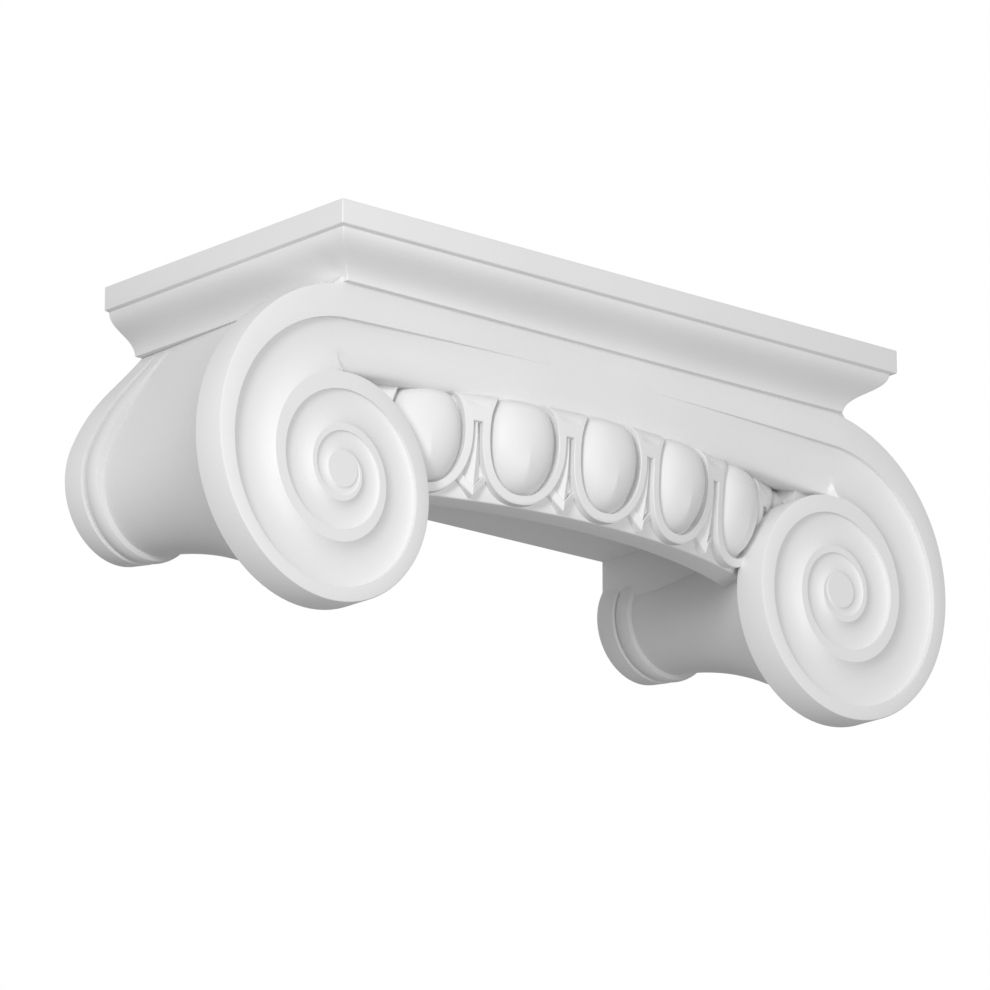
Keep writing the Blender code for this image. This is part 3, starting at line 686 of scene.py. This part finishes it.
def egg(centre):
    """Closed dome, cut level with the echinus' top."""
    foot = ECHINUS_BOTTOM + EGG_FOOT_GAP
    waist = ECHINUS_TOP - EGG_WAIST_DROP
    low = lerp(waist, foot, EGG_AXIS_SHARE)
    verts = []
    table = []
    for r in range(EGG_RINGS + 1):
        share = math.sin(0.5 * math.pi * r / EGG_RINGS)
        height = EGG_BULGE * max(1 - share ** EGG_DOME_POWER, 0.0) ** 0.5
        row = []
        for k in range(EGG_SPOKES + 1):
            t = k / EGG_SPOKES
            x, z = oval(EGG_HALF_WIDTH, EGG_CROWN, foot, EGG_CREST, t)
            axis = lerp(EGG_CREST, low, 1 - abs(2 * t - 1))
            z = lerp(axis, z, share)
            up = max(z - waist, 0.0) / (EGG_CREST - waist)
            keep = 1 - (1 - EGG_CREST_SHARE) * up * up
            row.append(len(verts))
            verts.append(on_echinus(centre, x * share, z, height * keep))
        table.append(row)
    hidden = []
    for k in range(EGG_SPOKES + 1):
        x, z = oval(EGG_HALF_WIDTH, EGG_CROWN, foot, EGG_CREST, k / EGG_SPOKES)
        hidden.append(len(verts))
        verts.append(on_echinus(centre, x, z, -SINK))
    table.append(hidden)
    faces = []
    for upper, lower in zip(table, table[1:]):
        for k in range(EGG_SPOKES):
            faces.append((upper[k], upper[k + 1], lower[k + 1], lower[k]))
    faces.append(tuple(hidden))
    left = [row[0] for row in table]
    right = [row[-1] for row in table[1:]]
    faces.append(tuple(reversed(left)) + tuple(right))
    return verts, faces


def frames():
    """One raised band that loops under every egg and bridges between them."""
    half_pitch = EGG_PITCH / 2
    inner_half = EGG_HALF_WIDTH + FRAME_GAP
    outer_half = min(inner_half + FRAME_WIDTH, half_pitch - SLOT_WIDTH / 2)
    foot = ECHINUS_BOTTOM + FRAME_FOOT_GAP
    waist = ECHINUS_TOP - EGG_WAIST_DROP
    slot_top = ECHINUS_TOP - SLOT_TOP_DROP
    rings = []
    for cell in range(-CELLS_EACH_SIDE, CELLS_EACH_SIDE + 1):
        centre = cell * PITCH_ANGLE
        for k in range(FRAME_SPOKES + 1):
            t = k / FRAME_SPOKES
            beyond = (t > 0.5) == (cell > 0) and abs(t - 0.5) > FRAME_END_SHARE
            if abs(cell) == CELLS_EACH_SIDE and beyond:
                continue
            inner = oval(inner_half, EGG_CROWN + FRAME_GAP, foot + FRAME_WIDTH, FRAME_CREST, t)
            outer = oval(outer_half, EGG_CROWN + FRAME_WIDTH, foot, FRAME_CREST, t)
            if outer[1] > waist:
                share = (outer[1] - waist) / (FRAME_CREST - waist)
                outer = (math.copysign(outer_half, outer[0]), lerp(waist, slot_top, share))
            width = math.dist(inner, outer)
            edge = RELIEF_ROUND / width
            places = [(0.0, RELIEF_ROUND), (edge, 0.0)]
            places += [
                (lerp(edge, 1 - edge, m / FRAME_ACROSS), 0.0) for m in range(1, FRAME_ACROSS)
            ]
            places += [(1 - edge, 0.0), (1.0, RELIEF_ROUND)]
            ring = []
            for u, drop in places:
                point = (lerp(inner[0], outer[0], u), lerp(inner[1], outer[1], u ** 2))
                ring.append(on_echinus(centre, *point, FRAME_RELIEF - drop))
            ring += [on_echinus(centre, x, z, -SINK) for x, z in (outer, inner)]
            rings.append(ring)
    return make_mesh("frames", *loft(rings))


def is_free(centre):
    """True where the echinus stands free between the two volutes."""
    return abs(CREST_RADIUS * math.sin(centre)) < EYE_X - turn_radius(FREE_TURN)


def dart(centre):
    """Ridged shaft in the slot, wider towards its foot."""
    tip = ECHINUS_BOTTOM + DART_FOOT_GAP
    top = ECHINUS_TOP - SLOT_TOP_DROP + SINK
    rings = []
    for k in range(DART_STEPS + 1):
        t = k / DART_STEPS
        z = lerp(top, tip + BARB_BAND, t)
        half = lerp(DART_TOP_WIDTH, DART_WIDTH, t) / 2
        ridge = lerp(DART_TOP_RELIEF, DART_RELIEF, t)
        crown = half * RIDGE_WIDTH_SHARE
        shoulder = ridge * RIDGE_HEIGHT_SHARE
        section = [
            (-half, -SINK), (-half, DART_EDGE), (-crown, shoulder), (0.0, ridge),
            (crown, shoulder), (half, DART_EDGE), (half, -SINK),
        ]
        rings.append([on_echinus(centre, arc, z, height) for arc, height in section])
    return loft(rings)


def dart_head(centre):
    """Chevron under the shaft: two wings whose faces meet in a forward ridge."""
    tip = ECHINUS_BOTTOM + DART_FOOT_GAP
    half = BARB_WIDTH / 2
    rings = []
    for k in range(-HEAD_STEPS, HEAD_STEPS + 1):
        across = k / HEAD_STEPS
        x = half * across
        low = tip + BARB_HEIGHT * abs(across)
        high = low + BARB_BAND * HEAD_BAND_SHARE
        relief = lerp(DART_RELIEF + HEAD_RIDGE_RISE, DART_EDGE + HEAD_WING_RISE, abs(across))
        section = [
            (low, -SINK), (low, relief - HEAD_LOW_ROUND), (low + HEAD_LOW_ROUND, relief),
            (high - HEAD_HIGH_ROUND, relief), (high, relief - HEAD_HIGH_ROUND), (high, -SINK),
        ]
        rings.append([on_echinus(centre, x, z, height) for z, height in section])
    return loft(rings)


def gathered(name, solids):
    """Several separate closed solids as one object."""
    verts = []
    faces = []
    for part_verts, part_faces in solids:
        base = len(verts)
        verts += part_verts
        faces += [tuple(base + k for k in face) for face in part_faces]
    return make_mesh(name, verts, faces)


def united(target, tools):
    """One mesh of the target and all the tools."""
    group = bpy.data.collections.new("tools")
    for tool in tools:
        group.objects.link(tool)
    modifier = target.modifiers.new("union", "BOOLEAN")
    modifier.operation = "UNION"
    modifier.solver = "EXACT"
    modifier.operand_type = "COLLECTION"
    modifier.collection = group
    depsgraph = bpy.context.evaluated_depsgraph_get()
    mesh = bpy.data.meshes.new_from_object(target.evaluated_get(depsgraph))
    target.modifiers.clear()
    target.data = mesh
    for tool in tools:
        bpy.data.objects.remove(tool, do_unlink=True)
    bpy.data.collections.remove(group)


def plaster_white():
    """Matt primer coat with the faint unevenness of a moulded skin."""
    material = bpy.data.materials.new("moulded_white")
    material.use_nodes = True
    nodes = material.node_tree.nodes
    links = material.node_tree.links
    shader = nodes["Principled BSDF"]
    coords = nodes.new("ShaderNodeTexCoord")

    cloud = nodes.new("ShaderNodeTexNoise")
    cloud.inputs["Scale"].default_value = CLOUD_SCALE
    cloud.inputs["Detail"].default_value = CLOUD_DETAIL
    tint = nodes.new("ShaderNodeValToRGB")
    for stop, (position, color) in zip(tint.color_ramp.elements, TINT_STOPS):
        stop.position = position
        stop.color = color
    links.new(coords.outputs["Object"], cloud.inputs["Vector"])
    links.new(cloud.outputs["Fac"], tint.inputs["Fac"])
    links.new(tint.outputs["Color"], shader.inputs["Base Color"])

    sheen = nodes.new("ShaderNodeMapRange")
    sheen.inputs["To Min"].default_value = ROUGHNESS_RANGE[0]
    sheen.inputs["To Max"].default_value = ROUGHNESS_RANGE[1]
    links.new(cloud.outputs["Fac"], sheen.inputs["Value"])
    links.new(sheen.outputs["Result"], shader.inputs["Roughness"])

    grain = nodes.new("ShaderNodeTexNoise")
    grain.inputs["Scale"].default_value = GRAIN_SCALE
    grain.inputs["Detail"].default_value = GRAIN_DETAIL
    bump = nodes.new("ShaderNodeBump")
    bump.inputs["Strength"].default_value = GRAIN_STRENGTH
    bump.inputs["Distance"].default_value = GRAIN_HEIGHT
    links.new(coords.outputs["Object"], grain.inputs["Vector"])
    links.new(grain.outputs["Fac"], bump.inputs["Height"])
    links.new(bump.outputs["Normal"], shader.inputs["Normal"])
    return material


def capital():
    """The whole carved capital as one piece."""
    piece = abacus()
    piece.name = "capital_carved"
    cells = range(-CELLS_EACH_SIDE, CELLS_EACH_SIDE + 1)
    egg_centres = [cell * PITCH_ANGLE for cell in cells]
    dart_centres = [centre + PITCH_ANGLE / 2 for centre in egg_centres]
    eggs = [egg(centre) for centre in egg_centres]
    darts = [dart(centre) for centre in dart_centres if is_free(centre)]
    heads = [dart_head(centre) for centre in dart_centres if is_free(centre)]
    tools = [core_above(), core_below(), front_plate(), echinus_ring(), frames()]
    tools += [bolster(side) for side in (-1, 1)]
    tools += [gathered("eggs", eggs), gathered("darts", darts), gathered("heads", heads)]
    united(piece, tools)
    piece.data.materials.clear()
    piece.data.materials.append(plaster_white())
    piece.data.shade_smooth()
    piece.data.set_sharp_from_angle(angle=SHARP_ANGLE)
    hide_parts("half_capital")
    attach(piece, "root")
    return piece


def area_light(name, place, size, power):
    """Round soft light that looks at the capital."""
    data = bpy.data.lights.new(name, "AREA")
    data.shape = "DISK"
    data.size = size
    data.energy = power
    light = bpy.data.objects.new(name, data)
    light.location = place
    ahead = Vector(LIGHTS_AIM) - Vector(place)
    light.rotation_euler = ahead.to_track_quat("-Z", "Y").to_euler()
    bpy.context.scene.collection.objects.link(light)


def floor_white():
    """Pale matt floor, which throws less light up at the capital than it shows."""
    paint = bpy.data.materials.new("floor_white")
    paint.use_nodes = True
    nodes = paint.node_tree.nodes
    links = paint.node_tree.links
    nodes.remove(nodes["Principled BSDF"])
    thrown = nodes.new("ShaderNodeBsdfDiffuse")
    thrown.inputs["Color"].default_value = FLOOR_THROWN
    seen = nodes.new("ShaderNodeBsdfDiffuse")
    seen.inputs["Color"].default_value = FLOOR_SEEN
    path = nodes.new("ShaderNodeLightPath")
    choice = nodes.new("ShaderNodeMixShader")
    links.new(path.outputs["Is Camera Ray"], choice.inputs["Fac"])
    links.new(thrown.outputs["BSDF"], choice.inputs[1])
    links.new(seen.outputs["BSDF"], choice.inputs[2])
    links.new(choice.outputs["Shader"], nodes["Material Output"].inputs["Surface"])
    return paint


def studio():
    """Pale floor, pale surroundings and two large soft lights."""
    bpy.ops.mesh.primitive_plane_add(size=FLOOR_SIZE, location=(0.0, 0.0, FLOOR_Z))
    floor = bpy.context.object
    floor.name = "floor"
    floor.data.materials.append(floor_white())

    world = bpy.data.worlds.new("studio")
    world.use_nodes = True
    nodes = world.node_tree.nodes
    links = world.node_tree.links
    nodes["Background"].inputs["Color"].default_value = ROOM_COLOR
    path = nodes.new("ShaderNodeLightPath")
    level = nodes.new("ShaderNodeMapRange")
    level.inputs["To Min"].default_value = ROOM_STRENGTH
    level.inputs["To Max"].default_value = BACKDROP_STRENGTH
    links.new(path.outputs["Is Camera Ray"], level.inputs["Value"])
    links.new(level.outputs["Result"], nodes["Background"].inputs["Strength"])
    bpy.context.scene.world = world

    for name, place, size, power in LIGHTS:
        area_light(name, place, size, power)
    bpy.context.scene.view_settings.view_transform = "Standard"


def camera():
    """Camera at the photograph's viewing angle."""
    data = bpy.data.cameras.new("camera")
    data.lens = CAMERA_LENS
    data.sensor_width = CAMERA_SENSOR
    data.sensor_fit = "HORIZONTAL"
    data.clip_end = CAMERA_CLIP_END
    item = bpy.data.objects.new("camera", data)
    ahead = Vector((
        math.sin(CAMERA_YAW) * math.cos(CAMERA_PITCH),
        math.cos(CAMERA_YAW) * math.cos(CAMERA_PITCH),
        math.sin(CAMERA_PITCH),
    ))
    right = Vector((math.cos(CAMERA_YAW), -math.sin(CAMERA_YAW), 0.0))
    up = right.cross(ahead)
    turn = Matrix((right, up, -ahead)).transposed().to_4x4()
    item.matrix_world = Matrix.Translation(CAMERA_PLACE) @ turn
    bpy.context.scene.collection.objects.link(item)
    bpy.context.scene.camera = item


capital()
studio()
camera()
